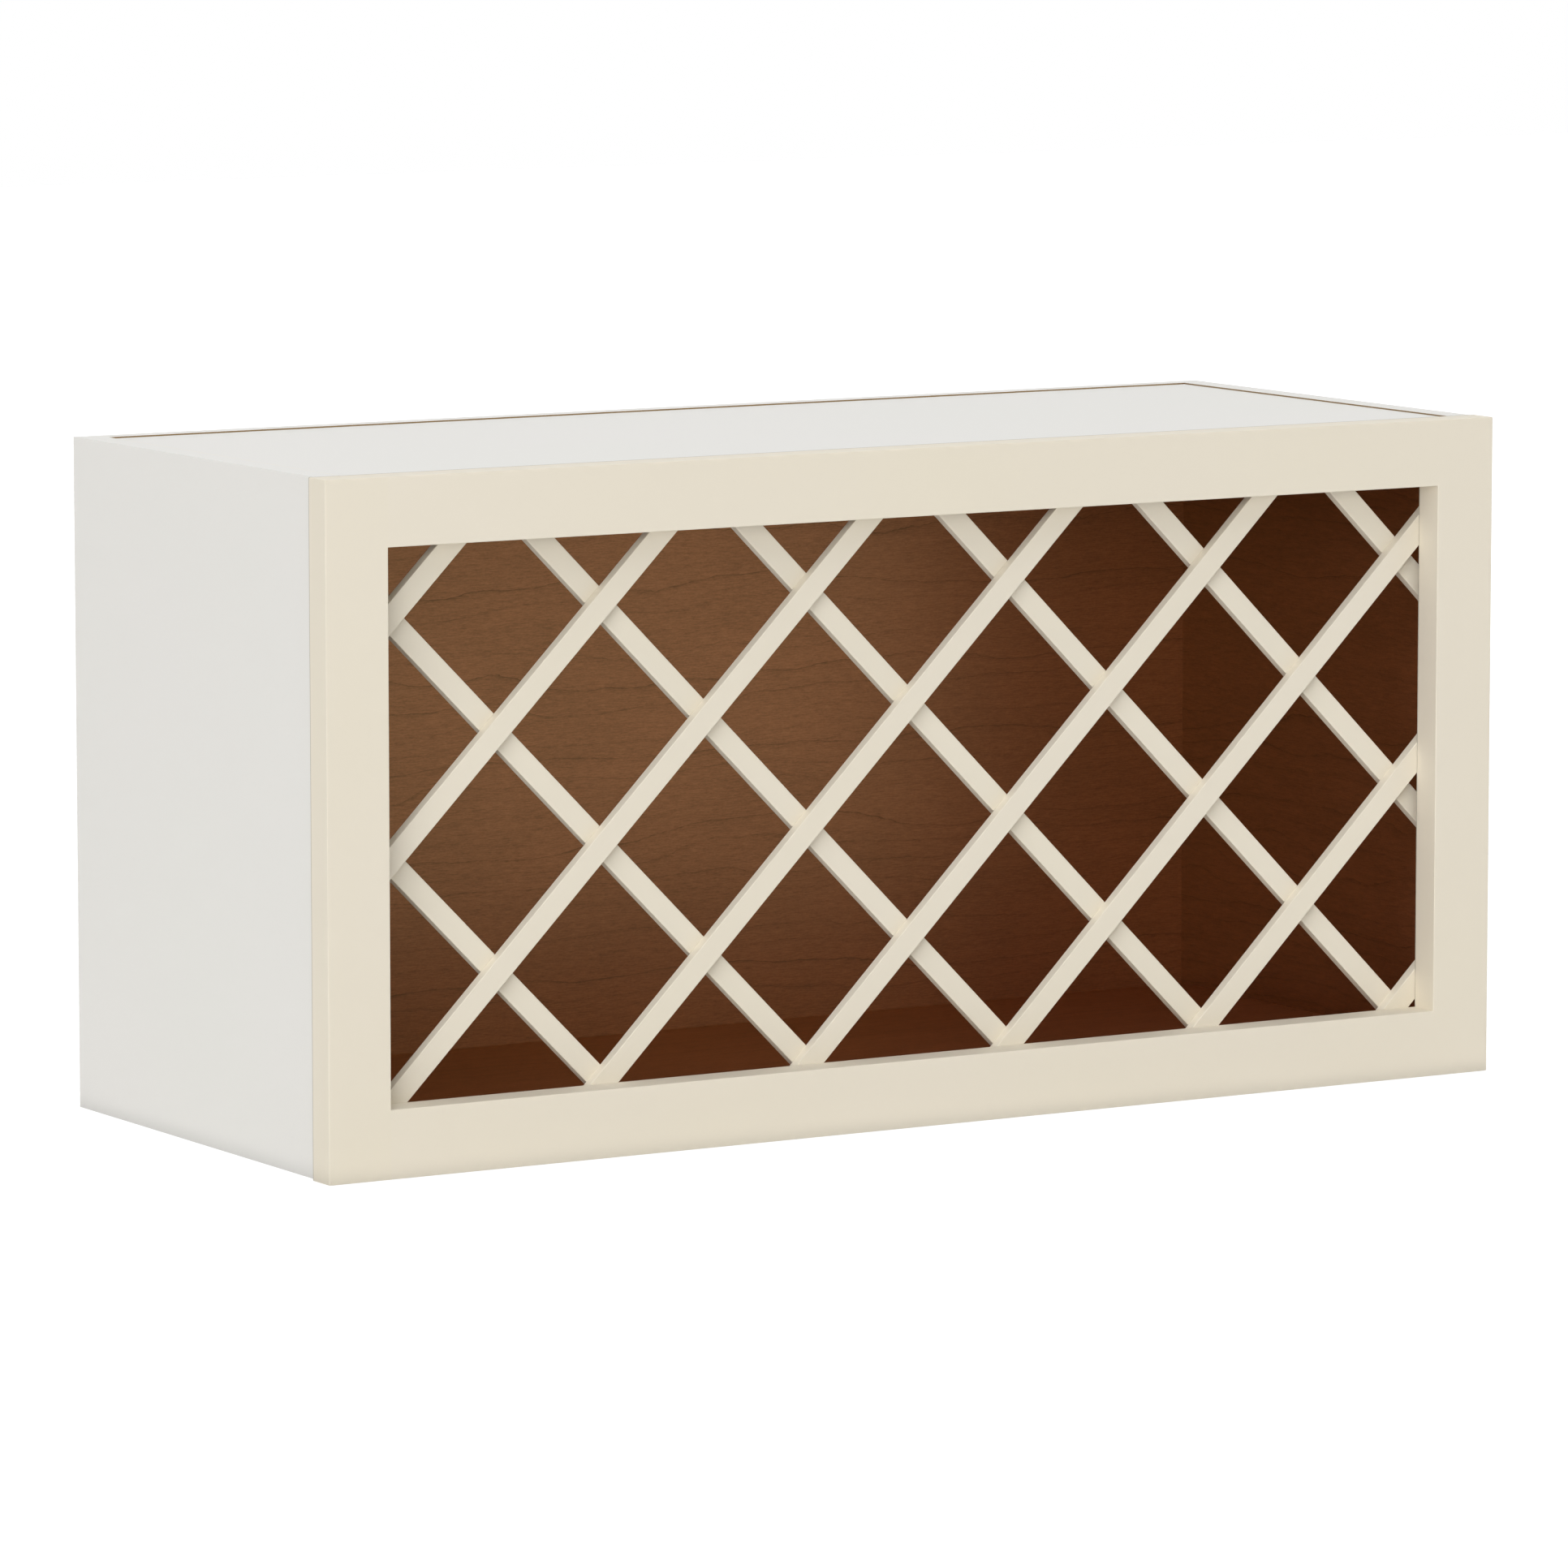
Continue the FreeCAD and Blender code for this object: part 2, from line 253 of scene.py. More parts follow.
@dataclass(frozen=True)
class SprayedPaint:
    """Satin lacquer sprayed on maple.

    To the eye it is an even warm cream, whose soft gloss shows a faint orange peel and the fibres under
    it. Real fibres are too fine to show, so they are drawn as coarse as they need to be. A frame member's
    outer faces carry a line of painted shade along its joint with the box, whose place is given in
    metres; it stands in for the seam's shadow. The line is drawn wider on the top, which is seen so flat
    that it wouldn't show there.
    """

    name: str
    grain: Grain
    joint_y: Optional[float] = None
    colour: str = "E6DECE"
    warm_colour: str = "E6DECC"
    drift: Streaks = Streaks(160.0, 110.0, 1.0)
    drift_swing: float = 1.6
    warm_share: float = 0.5
    roughness: float = 0.5
    gloss_swing: float = 0.06
    gloss_level: float = 0.3
    peel: Streaks = Streaks(1.6, 1.6, 1.0)
    peel_depth: float = 0.006
    fibres: Streaks = Streaks(45.0, 1.1, 2.0)
    fibre_depth: float = 0.004
    # The painted shadow along the joint with the box: its width, wider on the top, and its colour.
    joint_shadow_width: float = 1.0
    joint_shadow_top_width: float = 2.1
    joint_painted_shadow: str = "D2D2D2"

    def make(self) -> bpy.types.Material:
        """Builds the material.

        Returns:
            The material.
        """
        material, tree = new_material(self.name)
        place = board_coordinates(tree, self.grain)
        colour = two_toned(tree, self.drift.draw(tree, place), self.drift_swing, self.warm_share,
                           self.colour, self.warm_colour)
        if self.joint_y is not None:
            colour = self._paint_joint_shadow(tree, colour)
        peel = self.peel.draw(tree, place)
        fibres = self.fibres.draw(tree, place)
        peel_height = add(tree, MATH, (peel, self.peel_depth * MM), operation="MULTIPLY")
        fibre_height = add(tree, MATH, (fibres, self.fibre_depth * MM), operation="MULTIPLY")
        height = add(tree, MATH, (peel_height, fibre_height), operation="ADD")
        relief = add(tree, "ShaderNodeBump", {"Height": height, "Strength": 1.0, "Distance": 1.0})
        gloss = add(tree, MATH, (peel, self.gloss_swing, self.roughness), operation="MULTIPLY_ADD")
        surface = add(tree, "ShaderNodeBsdfPrincipled", {
            "Base Color": colour, "Roughness": gloss, "Normal": relief, "IOR": RESIN_IOR,
            "Specular IOR Level": self.gloss_level})
        add(tree, "ShaderNodeOutputMaterial", [surface])
        return material

    def _paint_joint_shadow(self, tree: bpy.types.NodeTree, colour: Source) -> Source:
        """Paints shade along the edge of the outer faces where the frame meets the box, for the seam's
        shadow.

        Args:
            tree: The material's node tree.
            colour: The paint's colour.

        Returns:
            The colour with the line of painted shade.
        """
        depth = add(tree, "ShaderNodeSeparateXYZ", [add(tree, "ShaderNodeTexCoord").outputs["Object"]])
        facing = add(tree, "ShaderNodeSeparateXYZ", [add(tree, "ShaderNodeNewGeometry").outputs["Normal"]])
        width = add(tree, "ShaderNodeMapRange", {
            "Value": facing.outputs["Z"], "From Min": 0.0, "From Max": 1.0,
            "To Min": self.joint_shadow_width * MM, "To Max": self.joint_shadow_top_width * MM})
        start = add(tree, MATH, (self.joint_y, width), operation="SUBTRACT")
        close = add(tree, MATH, (depth.outputs["Y"], start), operation="GREATER_THAN")
        outer = add(tree, MATH, (facing.outputs["Y"], FACING_SHARE), operation="LESS_THAN")
        line = add(tree, MATH, (close, outer), operation="MULTIPLY")
        # Painted shade: the seam's shadow is multiplied into the paint along the joint.
        return add(tree, "ShaderNodeMix", {
            "Factor": line, MIX_FIRST: colour, MIX_SECOND: linear(self.joint_painted_shadow)},
            data_type="RGBA", blend_type="MULTIPLY").outputs[MIX_RESULT]


@dataclass(frozen=True)
class MelamineFace:
    """Melamine paper pressed on particle board.

    To the eye it is a cool off-white, near matt, with a fine pearl emboss, which is drawn as coarse as it
    needs to be to show.
    """

    name: str
    colour: str = "E7E5E1"
    cool_colour: str = "E6E5E0"
    drift: Streaks = Streaks(140.0, 140.0, 1.0)
    drift_swing: float = 1.6
    cool_share: float = 0.5
    roughness: float = 0.5
    gloss_swing: float = 0.08
    emboss: Streaks = Streaks(0.9, 0.9, 2.0)
    emboss_depth: float = 0.012

    def make(self) -> bpy.types.Material:
        """Builds the material.

        Returns:
            The material.
        """
        material, tree = new_material(self.name)
        place = board_coordinates(tree, Grain.ACROSS_FLAT)
        colour = two_toned(tree, self.drift.draw(tree, place), self.drift_swing, self.cool_share,
                           self.colour, self.cool_colour)
        emboss = self.emboss.draw(tree, place)
        height = add(tree, MATH, (emboss, self.emboss_depth * MM), operation="MULTIPLY")
        relief = add(tree, "ShaderNodeBump", {"Height": height, "Strength": 1.0, "Distance": 1.0})
        gloss = add(tree, MATH, (emboss, self.gloss_swing, self.roughness), operation="MULTIPLY_ADD")
        surface = add(tree, "ShaderNodeBsdfPrincipled", {
            "Base Color": colour, "Roughness": gloss, "Normal": relief, "IOR": RESIN_IOR})
        add(tree, "ShaderNodeOutputMaterial", [surface])
        return material


@dataclass(frozen=True)
class CherryVeneer:
    """Cherry veneer, stained red brown and sealed satin.

    To the eye it is a level, wandering figure of thin dark growth lines with one sharp edge, over short
    fibres and a soft mottle, with a few pin knots and gum flecks. The fibres under the seal give it a
    warm lustre where it mirrors the light. Real fibres are too fine to show, so they are drawn as coarse
    as they need to be. Above the lip's height, which is in metres, the leaf is a plain brown without that
    lustre, and its top edge has the boards' edge band.
    """

    name: str
    grain: Grain
    seed: float
    lip_height: float
    # Painted light and shade: a share that scales the leaf's stain for how light falls on the board.
    painted_light_share: float = 1.0
    lip_colour: str = "5A3B2C"
    band_colour: str = "E7E5E1"
    light_colour: str = "96583B"
    dark_colour: str = "562618"
    stain_share: float = 0.32
    relief_depth: float = 0.02

    # The seal over the fibres.
    gloss_colour: str = "FFEBA6"
    gloss_swing: float = 0.08
    roughness: float = 0.38
    lustre: float = 0.5
    seal_ior: float = 1.85
    seal_level: float = 1.0

    # The fibres first, then a mottle that grows wider and softer.
    mottle: tuple[Streaks, ...] = (
        Streaks(7.0, 0.6, 2.0, 1.10), Streaks(1.8, 0.7, 1.0, 0.66), Streaks(22.0, 3.0, 1.0, 0.24),
        Streaks(60.0, 18.0, 2.0, 0.28), Streaks(170.0, 90.0, 1.0, 0.26))

    # The growth lines. What they wander by is in millimetres.
    line_spacing: float = 12.0
    fine_spacing: float = 3.8
    fine_share: float = 0.28
    line_weight: float = 0.66
    line_fade: Streaks = Streaks(60.0, 14.0, 1.0, 1.7)
    line_wander: tuple[Streaks, ...] = (
        Streaks(190.0, 80.0, 1.0, 48.0), Streaks(65.0, 28.0, 1.0, 16.0), Streaks(16.0, 7.0, 3.0, 3.2),
        Streaks(4.0, 2.4, 1.0, 1.0))
    soft_power_per_mm: float = 0.6
    soft_weight: float = 0.3
    sharp_power_per_mm: float = 2.8
    sharp_weight: float = 0.75
    least_strength: float = 0.1
    strength_swing: float = 1.1

    # The pin knots, one in each cell of their pattern whose dice fall over the choice.
    knot_spacing: float = 120.0
    knot_squeeze_share: float = 0.6
    knot_width: float = 9.0
    knot_rise: float = 13.0
    knot_choice: float = 0.72
    knot_shake_length: float = 8.0
    knot_shake_width: float = 5.0
    knot_shake_share: float = 0.05
    heart_power: float = 6.0
    heart_weight: float = 0.3

    # The gum flecks, chosen in the same way.
    fleck_spacing: float = 26.0
    fleck_length: float = 2.4
    fleck_width: float = 0.8
    fleck_core_share: float = 0.2
    fleck_darkness: float = 0.95
    fleck_choice: float = 0.45

    def make(self) -> bpy.types.Material:
        """Builds the material.

        Returns:
            The material.
        """
        material, tree = new_material(self.name)
        tone = self._tone(tree, board_coordinates(tree, self.grain, self.seed))
        # The share paints light and shade into both colours of the stain.
        light, dark = (tuple(part * self.painted_light_share for part in linear(shade)[:3]) + (1.0,)
                       for shade in (self.light_colour, self.dark_colour))
        stained = add(tree, "ShaderNodeMix", {"Factor": tone, MIX_FIRST: light, MIX_SECOND: dark},
                      data_type="RGBA").outputs[MIX_RESULT]
        lip, colour = self._lip(tree, stained)
        height = add(tree, MATH, (tone, -self.relief_depth * MM), operation="MULTIPLY")
        relief = add(tree, "ShaderNodeBump", {"Height": height, "Strength": 1.0, "Distance": 1.0})
        gloss = add(tree, MATH, (tone, self.gloss_swing, self.roughness), operation="MULTIPLY_ADD")
        lustre = add(tree, MATH, (lip, -self.lustre, self.lustre), operation="MULTIPLY_ADD")
        surface = add(tree, "ShaderNodeBsdfPrincipled", {
            "Base Color": colour, "Metallic": lustre, "Roughness": gloss, "Normal": relief,
            "IOR": self.seal_ior, "Specular IOR Level": self.seal_level,
            "Specular Tint": linear(self.gloss_colour)})
        add(tree, "ShaderNodeOutputMaterial", [surface])
        return material

    def _tone(self, tree: bpy.types.NodeTree, place: Source) -> Source:
        """Draws the whole figure.

        Args:
            tree: The material's node tree.
            place: The board's coordinates.

        Returns:
            How dark the wood is, mostly from 0 to 1.
        """
        bulge, heart = self._knots(tree, place)
        ring = self._ring_place(tree, place, bulge)
        fine = self._growth_lines(tree, ring, self.fine_spacing)
        wide = self._growth_lines(tree, ring, self.line_spacing)
        lines = add(tree, MATH, (fine, self.fine_share, wide), operation="MULTIPLY_ADD")
        faded = add(tree, MATH, (lines, self.line_fade.add_to(tree, place, 1.0)), operation="MULTIPLY")
        tone = add(tree, MATH, (faded, self.line_weight, self.stain_share), operation="MULTIPLY_ADD")
        for streaks in self.mottle:
            tone = streaks.add_to(tree, place, tone)
        tone = add(tree, MATH, (heart, self.heart_weight, tone), operation="MULTIPLY_ADD")
        return add(tree, MATH, (tone, self._flecks(tree, place)), operation="MAXIMUM")

    def _lip(self, tree: bpy.types.NodeTree, stained: Source) -> tuple[Source, Source]:
        """Leaves the leaf plain above the top board, and covers its top edge with the edge band.

        Args:
            tree: The material's node tree.
            stained: The stained colour.

        Returns:
            Where the lip is, from 0 to 1, and the whole colour.
        """
        rise = add(tree, "ShaderNodeSeparateXYZ", [add(tree, "ShaderNodeTexCoord").outputs["Object"]])
        lip = add(tree, MATH, (rise.outputs["Z"], self.lip_height), operation="GREATER_THAN")
        facing = add(tree, "ShaderNodeSeparateXYZ", [add(tree, "ShaderNodeNewGeometry").outputs["Normal"]])
        upward = add(tree, MATH, (facing.outputs["Z"], FACING_SHARE), operation="GREATER_THAN")
        edge = add(tree, MATH, (lip, upward), operation="MULTIPLY")
        plain = add(tree, "ShaderNodeMix", {
            "Factor": lip, MIX_FIRST: stained, MIX_SECOND: linear(self.lip_colour)}, data_type="RGBA")
        banded = add(tree, "ShaderNodeMix", {
            "Factor": edge, MIX_FIRST: plain.outputs[MIX_RESULT], MIX_SECOND: linear(self.band_colour)},
            data_type="RGBA")
        return lip, banded.outputs[MIX_RESULT]

    def _knots(self, tree: bpy.types.NodeTree, place: Source) -> tuple[Source, Source]:
        """Strews a few pin knots.

        Args:
            tree: The material's node tree.
            place: The board's coordinates.

        Returns:
            Each knot's soft bulge and its dark heart, both from 0 to 1.
        """
        shaken = add(tree, "ShaderNodeTexNoise", {
            "Vector": stretched(tree, place, self.knot_shake_length, self.knot_shake_width), "Scale": 1.0})
        offset = add(tree, "ShaderNodeVectorMath", (shaken.outputs["Color"], (self.knot_shake_share,) * 3),
                     operation="MULTIPLY")
        across = self.knot_spacing * self.knot_squeeze_share
        spread = stretched(tree, place, self.knot_spacing, across)
        spot = add(tree, "ShaderNodeTexVoronoi", {
            "Vector": add(tree, "ShaderNodeVectorMath", (spread, offset)), "Scale": 1.0})
        near = add(tree, MATH, (spot.outputs["Distance"], across / self.knot_width), operation="MULTIPLY")
        squared = add(tree, MATH, (near, near), operation="MULTIPLY")
        fall = add(tree, MATH, (squared, -1.0), operation="MULTIPLY")
        round_knot = add(tree, MATH, [fall], operation="EXPONENT")
        dice = add(tree, "ShaderNodeSeparateColor", [spot.outputs["Color"]])
        chosen = add(tree, MATH, (dice.outputs["Red"], self.knot_choice), operation="GREATER_THAN")
        bulge = add(tree, MATH, (round_knot, chosen), operation="MULTIPLY")
        return bulge, add(tree, MATH, (bulge, self.heart_power), operation="POWER")

    def _ring_place(self, tree: bpy.types.NodeTree, place: Source, bulge: Source) -> Source:
        """Works out how far across the growth rings a point lies.

        Args:
            tree: The material's node tree.
            place: The board's coordinates.
            bulge: The knots' bulge.

        Returns:
            The place in metres, which wanders, shakes and swells over the knots.
        """
        ring = add(tree, "ShaderNodeSeparateXYZ", [place]).outputs["Y"]
        for streaks in self.line_wander:
            ring = streaks.add_to(tree, place, ring, MM)
        return add(tree, MATH, (bulge, self.knot_rise * MM, ring), operation="MULTIPLY_ADD")

    def _growth_lines(self, tree: bpy.types.NodeTree, ring: Source, spacing: float) -> Source:
        """Draws the dark edges of the growth rings, sharp on one side and soft on the other.

        Args:
            tree: The material's node tree.
            ring: How far across the rings a point lies, in metres.
            spacing: The lines' spacing in millimetres.

        Returns:
            The darkness, from 0 to about 1.3, each line with its own strength.
        """
        phase = add(tree, MATH, (ring, spacing * MM), operation="DIVIDE")
        step = add(tree, MATH, [phase], operation="FLOOR")
        dice = add(tree, "ShaderNodeTexWhiteNoise", {"W": step}, noise_dimensions="1D")
        saw = add(tree, MATH, (phase, step), operation="SUBTRACT")
        soft = add(tree, MATH, (saw, self.soft_power_per_mm * spacing), operation="POWER")
        soft_part = add(tree, MATH, (soft, self.soft_weight), operation="MULTIPLY")
        sharp = add(tree, MATH, (saw, self.sharp_power_per_mm * spacing), operation="POWER")
        both = add(tree, MATH, (sharp, self.sharp_weight, soft_part), operation="MULTIPLY_ADD")
        strength = add(tree, MATH, (dice.outputs["Value"], self.strength_swing, self.least_strength),
                       operation="MULTIPLY_ADD")
        return add(tree, MATH, (both, strength), operation="MULTIPLY")

    def _flecks(self, tree: bpy.types.NodeTree, place: Source) -> Source:
        """Draws the small dark gum flecks that lie along the fibres.

        Args:
            tree: The material's node tree.
            place: The board's coordinates.

        Returns:
            The flecks' darkness, from 0 to 1.
        """
        stretch = self.fleck_length / self.fleck_width
        spots = add(tree, "ShaderNodeTexVoronoi", {
            "Vector": stretched(tree, place, self.fleck_spacing * stretch, self.fleck_spacing), "Scale": 1.0})
        reach = self.fleck_width / self.fleck_spacing / 2
        inside = add(tree, "ShaderNodeMapRange", {
            "Value": spots.outputs["Distance"], "From Min": reach, "From Max": reach * self.fleck_core_share,
            "To Min": 0.0, "To Max": self.fleck_darkness})
        dice = add(tree, "ShaderNodeSeparateColor", [spots.outputs["Color"]])
        chosen = add(tree, MATH, (dice.outputs["Green"], self.fleck_choice), operation="GREATER_THAN")
        return add(tree, MATH, (inside, chosen), operation="MULTIPLY")


@dataclass(frozen=True)
class TurnedBeech:
    """Bare beech dowel rod: to the eye a pale pinkish wood with short dark rays along it."""

    name: str
    light_colour: str = "D9B98F"
    dark_colour: str = "A97F55"
    dark_share: float = 0.35
    roughness: float = 0.62
    rays: Streaks = Streaks(2.4, 0.35, 2.0)
    ray_swing: float = 1.4
    ray_depth: float = 0.03

    def make(self) -> bpy.types.Material:
        """Builds the material.

        Returns:
            The material.
        """
        material, tree = new_material(self.name)
        rays = self.rays.draw(tree, board_coordinates(tree, Grain.ACROSS_FLAT))
        colour = two_toned(tree, rays, self.ray_swing, self.dark_share, self.light_colour, self.dark_colour)
        height = add(tree, MATH, (rays, self.ray_depth * MM), operation="MULTIPLY")
        relief = add(tree, "ShaderNodeBump", {"Height": height, "Strength": 1.0, "Distance": 1.0})
        surface = add(tree, "ShaderNodeBsdfPrincipled", {
            "Base Color": colour, "Roughness": self.roughness, "Normal": relief})
        add(tree, "ShaderNodeOutputMaterial", [surface])
        return material


@dataclass(frozen=True)
class ZincPlate:
    """Bright zinc plate on drawn steel wire.

    To the eye it is a soft grey metal with fine draw marks, which are drawn as coarse as they need to be
    to show.
    """

    name: str
    light_colour: str = "C9CACC"
    dark_colour: str = "9FA2A6"
    dark_share: float = 0.4
    roughness: float = 0.32
    gloss_swing: float = 0.2
    marks: Streaks = Streaks(0.5, 0.5, 3.0)
    mark_swing: float = 1.2

    def make(self) -> bpy.types.Material:
        """Builds the material.

        Returns:
            The material.
        """
        material, tree = new_material(self.name)
        marks = self.marks.draw(tree, board_coordinates(tree, Grain.ACROSS_FLAT))
        colour = two_toned(tree, marks, self.mark_swing, self.dark_share, self.light_colour, self.dark_colour)
        gloss = add(tree, MATH, (marks, self.gloss_swing, self.roughness), operation="MULTIPLY_ADD")
        surface = add(tree, "ShaderNodeBsdfPrincipled", {
            "Base Color": colour, "Roughness": gloss, "Metallic": 1.0})
        add(tree, "ShaderNodeOutputMaterial", [surface])
        return material


def dress(names: Sequence[str], material: bpy.types.Material) -> None:
    """Gives CAD nodes their material, slot by slot.

    Args:
        names: The nodes' names.
        material: The material that each of their slots gets.
    """
    for name in names:
        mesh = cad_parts[name].data
        if not mesh.materials:
            mesh.materials.append(material)
        for index in range(len(mesh.materials)):
            mesh.materials[index] = material
        LOG.info("%s is finished in %s", name, material.name)


@dataclass
class FaceFrame:
    """Two stiles and two rails, sprayed as one."""

    stiles: tuple[str, ...] = ("left_stile", "right_stile")
    top_rail: str = "top_rail"
    bottom_rail: str = "bottom_rail"

    def finish(self) -> None:
        """Paints the frame, with the fibres along each member.

        The bottom rail has no line of painted shade at its joint with the box, which lies underneath.
        """
        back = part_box(self.stiles[0])[1][1]
        dress(self.stiles, SprayedPaint("cream_satin_lacquer_stiles", Grain.UPWARD, back).make())
        dress([self.top_rail],
              SprayedPaint("cream_satin_lacquer_top_rail", Grain.ACROSS_UPRIGHT, back).make())
        dress([self.bottom_rail],
              SprayedPaint("cream_satin_lacquer_bottom_rail", Grain.ACROSS_UPRIGHT).make())


@dataclass
class BottleLattice:
    """Two layers of square-edged strips that cross."""

    strips_per_layer: int = 8

    def finish(self) -> None:
        """Paints both layers, with the fibres along the strips."""
        numbers = range(1, self.strips_per_layer + 1)
        dress([f"lattice_front_strip_{number}" for number in numbers],
              SprayedPaint("cream_satin_lacquer_rising_strips", Grain.RISING).make())
        dress([f"lattice_back_strip_{number}" for number in numbers],
              SprayedPaint("cream_satin_lacquer_falling_strips", Grain.FALLING).make())


@dataclass
class Box:
    """The five boards behind the frame, faced outside and along their edges."""

    boards: tuple[str, ...] = (
        "left_side_panel", "right_side_panel", "bottom_panel", "top_panel", "back_panel")

    def finish(self) -> None:
        """Faces the boards."""
        dress(self.boards, MelamineFace("off_white_melamine").make())


@dataclass(frozen=True)
class Leaf:
    """One sheet of veneer: its node, its grain, its figure's seed, and its tone as a share of the back's.

    That share is painted light and shade: below one it darkens a leaf, above one it lightens it, for how
    light falls on that board.
    """

    node: str
    grain: Grain
    seed: float
    painted_light_share: float = 1.0


@dataclass
class Lining:
    """The veneer on the inside of each board, each leaf with its own figure."""

    leaves: tuple[Leaf, ...] = (
        Leaf("back_veneer", Grain.ACROSS_UPRIGHT, 1.3),
        Leaf("left_side_veneer", Grain.DEEP_UPRIGHT, 4.1),
        # Painted shade and light: the right side's leaf is darker and the bottom's lighter than the back's.
        Leaf("right_side_veneer", Grain.DEEP_UPRIGHT, 2.6, 0.66),
        Leaf("bottom_veneer", Grain.ACROSS_FLAT, 5.2, 1.35),
        Leaf("top_veneer", Grain.ACROSS_FLAT, 6.7))

    def finish(self) -> None:
        """Veneers the inside, with the fibres level on every board."""
        lip_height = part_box("top_panel")[1][2]
        for leaf in self.leaves:
            veneer = CherryVeneer("stained_cherry_" + leaf.node, leaf.grain, leaf.seed, lip_height,
                                  leaf.painted_light_share)
            dress([leaf.node], veneer.make())


@dataclass
class Fastenings:
    """Dowels, brads and screws, nearly all of them out of sight."""

    dowels: tuple[str, ...] = ("frame_dowels", "case_dowels", "frame_back_dowels")
    steel: tuple[str, ...] = ("lattice_brads", "back_screws")

    def finish(self) -> None:
        """Gives the dowels bare beech and the steel its zinc."""
        dress(self.dowels, TurnedBeech("bare_beech").make())
        dress(self.steel, ZincPlate("bright_zinc_plate").make())


@dataclass(frozen=True)
class Softbox:
    """A large flat lamp that faces the cabinet and that no camera sees.

    Its azimuth is in degrees from the front towards the right, and its level is how bright its face is.
    """

    name: str
    azimuth: float
    elevation: float
    level: float
    width: float = 8.2
    height: float = 8.2
    distance: float = 12.0
    in_gloss: bool = True

    def hang(self, aim: Vector) -> None:
        """Hangs the lamp.

        Args:
            aim: The point that it faces.
        """
        turn, rise = math.radians(self.azimuth), math.radians(self.elevation)
        way = Vector((math.sin(turn) * math.cos(rise), -math.cos(turn) * math.cos(rise), math.sin(rise)))
        light = bpy.data.lights.new(self.name, "AREA")
        light.shape = "RECTANGLE"
        light.size = self.width
        light.size_y = self.height
        light.energy = self.level * math.pi * self.width * self.height
        lamp = bpy.data.objects.new(self.name, light)
        lamp.location = aim + way * self.distance
        lamp.rotation_mode = "QUATERNION"
        lamp.rotation_quaternion = way.to_track_quat("Z", "Y")
        lamp.visible_camera = False
        lamp.visible_glossy = self.in_gloss
        bpy.context.scene.collection.objects.link(lamp)


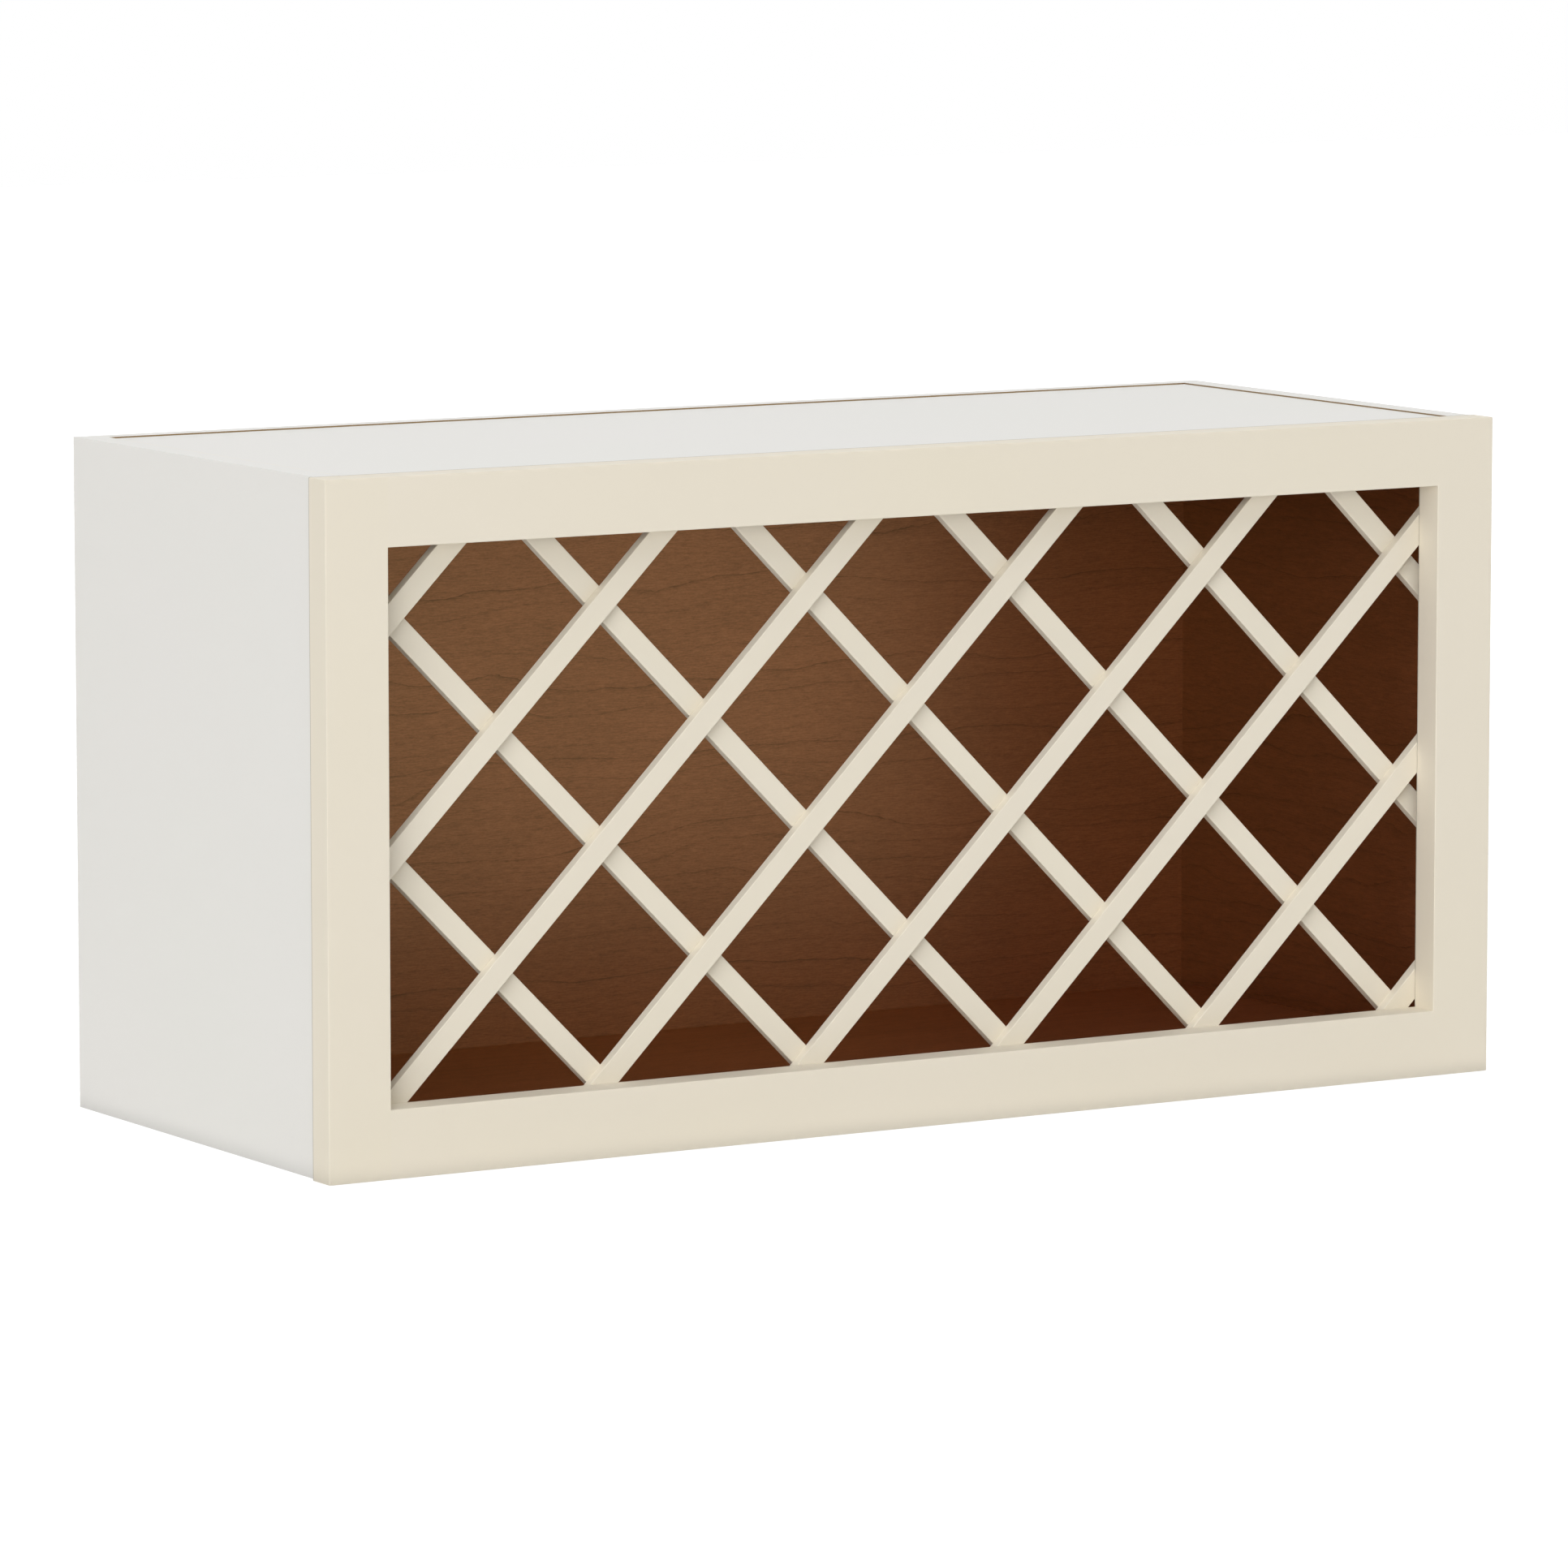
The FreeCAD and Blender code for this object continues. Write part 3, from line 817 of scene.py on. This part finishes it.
@dataclass
class Studio:
    """A pale floor, soft lamps, a white surround that gives a little light of its own, and the camera."""

    floor_size: float = 16.0
    floor_drop: float = 0.3 * MM
    floor_colour: str = "F4F3F1"
    floor_shade_share: float = 0.3
    floor_lift: float = 0.84
    far_lift: float = 1.0
    near_radius: float = 0.9
    far_radius: float = 2.6
    contact_gap: float = 1.0 * MM
    # Painted shade: within the foot gap the paper is a darker grey to the cabinet, for a contact shadow at
    # its foot.
    foot_gap: float = 10.0 * MM
    foot_shade_colour: str = "BDBCBA"
    surround_level: float = 0.1
    under_level: float = 0.75
    softboxes: tuple[Softbox, ...] = (
        Softbox("key_softbox", -32, 50, 2.45), Softbox("overhead_softbox", 0, 90, 3.0),
        Softbox("low_left_softbox", -50, 8, 6.8, height=3.6), Softbox("right_softbox", 40, 18, 0.45),
        Softbox("right_rear_softbox", 115, 8, 3.6, height=3.6, in_gloss=False),
        Softbox("rear_softbox", 172, 8, 4.4, height=3.6, in_gloss=False))

    camera_place: tuple[float, float, float] = (-2.61766698, -4.33822279, 0.82096988)
    camera_down: float = 7.251143
    camera_turn: float = 31.069323
    lens: float = 205.19568
    sensor: float = 36.0
    far_clip: float = 60.0

    def build(self) -> None:
        """Makes the floor, the light and the camera."""
        self._floor()
        self._surround()
        low, high = (Vector(corner) for corner in CAD_BOX)
        for softbox in self.softboxes:
            softbox.hang((low + high) / 2)
        self._camera()

    def _floor(self) -> None:
        """Lays the floor just below the cabinet."""
        shape = bmesh.new()
        bmesh.ops.create_grid(shape, x_segments=1, y_segments=1, size=self.floor_size / 2)
        bmesh.ops.translate(shape, verts=shape.verts, vec=(0.0, 0.0, -self.floor_drop))
        mesh = bpy.data.meshes.new("floor")
        shape.to_mesh(mesh)
        shape.free()
        floor = bpy.data.objects.new("floor", mesh)
        bpy.context.scene.collection.objects.link(floor)
        mesh.materials.append(self._floor_material())

    def _floor_material(self) -> bpy.types.Material:
        """Matt white paper, which the camera sees near white but for the cabinet's shadow.

        It lights the cabinet as paper does, but it is darker to rays that meet it within the foot gap:
        painted shade, which gives the box its soft dark foot. It is clear from below, and to rays that meet
        it within the contact gap, so that the underside gets its light.

        Returns:
            The material.
        """
        material, tree = new_material("matt_white_paper")
        path = add(tree, "ShaderNodeLightPath")
        paper = add(tree, "ShaderNodeBsdfDiffuse", {"Color": linear(self.floor_colour)})
        # Painted shade: darker paper for rays that meet the floor within the foot gap.
        foot_shade_paper = add(tree, "ShaderNodeBsdfDiffuse", {"Color": linear(self.foot_shade_colour)})
        foot = add(tree, MATH, (path.outputs["Ray Length"], self.foot_gap), operation="LESS_THAN")
        lighting = add(tree, "ShaderNodeMixShader", (foot, paper, foot_shade_paper))

        shade = add(tree, "ShaderNodeBsdfDiffuse", {"Color": (self.floor_shade_share,) * 3 + (1.0,)})
        away = add(tree, "ShaderNodeVectorMath", [add(tree, "ShaderNodeTexCoord").outputs["Object"]],
                   operation="LENGTH").outputs["Value"]
        level = add(tree, "ShaderNodeMapRange", {
            "Value": away, "From Min": self.near_radius, "From Max": self.far_radius,
            "To Min": self.floor_lift, "To Max": self.far_lift})
        lift = add(tree, "ShaderNodeEmission", {"Color": WHITE, "Strength": level})
        bright = add(tree, "ShaderNodeAddShader", (shade, lift))
        face = add(tree, "ShaderNodeMixShader", (shows_itself(tree, path), lighting, bright))

        close = add(tree, MATH, (path.outputs["Ray Length"], self.contact_gap), operation="LESS_THAN")
        below = add(tree, "ShaderNodeNewGeometry").outputs["Backfacing"]
        gone = add(tree, MATH, (close, below), operation="MAXIMUM")
        whole = add(tree, "ShaderNodeMixShader", (gone, face, add(tree, "ShaderNodeBsdfTransparent")))
        add(tree, "ShaderNodeOutputMaterial", [whole])
        return material

    def _surround(self) -> None:
        """Sets the surround, which the camera, gloss and glass see white.

        It gives the cabinet a little even light from above, and more from below, for the underside.
        """
        world = bpy.data.worlds.new("white_surround")
        bpy.context.scene.world = world
        world.use_nodes = True
        tree = world.node_tree
        tree.nodes.clear()
        path = add(tree, "ShaderNodeLightPath")
        way = add(tree, "ShaderNodeSeparateXYZ", [add(tree, "ShaderNodeTexCoord").outputs["Generated"]])
        upward = add(tree, MATH, (way.outputs["Z"], 0.0), operation="GREATER_THAN")
        level = add(tree, MATH, (upward, self.surround_level - self.under_level, self.under_level),
                    operation="MULTIPLY_ADD")
        light = add(tree, "ShaderNodeBackground", {"Color": WHITE, "Strength": level})
        white = add(tree, "ShaderNodeBackground", {"Color": WHITE, "Strength": 1.0})
        mixed = add(tree, "ShaderNodeMixShader", (shows_itself(tree, path), light, white))
        add(tree, "ShaderNodeOutputWorld", [mixed])
        bpy.context.scene.view_settings.view_transform = "Standard"

    def _camera(self) -> None:
        """Sets the camera as the photograph's was solved."""
        lens = bpy.data.cameras.new("camera")
        lens.lens = self.lens
        lens.sensor_width = self.sensor
        lens.clip_end = self.far_clip
        camera = bpy.data.objects.new("camera", lens)
        camera.location = Vector(self.camera_place)
        camera.rotation_euler = (
            math.radians(LEVEL_TURN - self.camera_down), 0.0, -math.radians(self.camera_turn))
        bpy.context.scene.collection.objects.link(camera)
        bpy.context.scene.camera = camera


def main() -> None:
    """Dresses the cabinet piece by piece, then sets the studio round it."""
    logging.basicConfig(level=logging.INFO, format="%(name)s: %(message)s")
    for part in (FaceFrame(), BottleLattice(), Box(), Lining(), Fastenings()):
        part.finish()
    Studio().build()


if __name__ == "__main__":
    main()
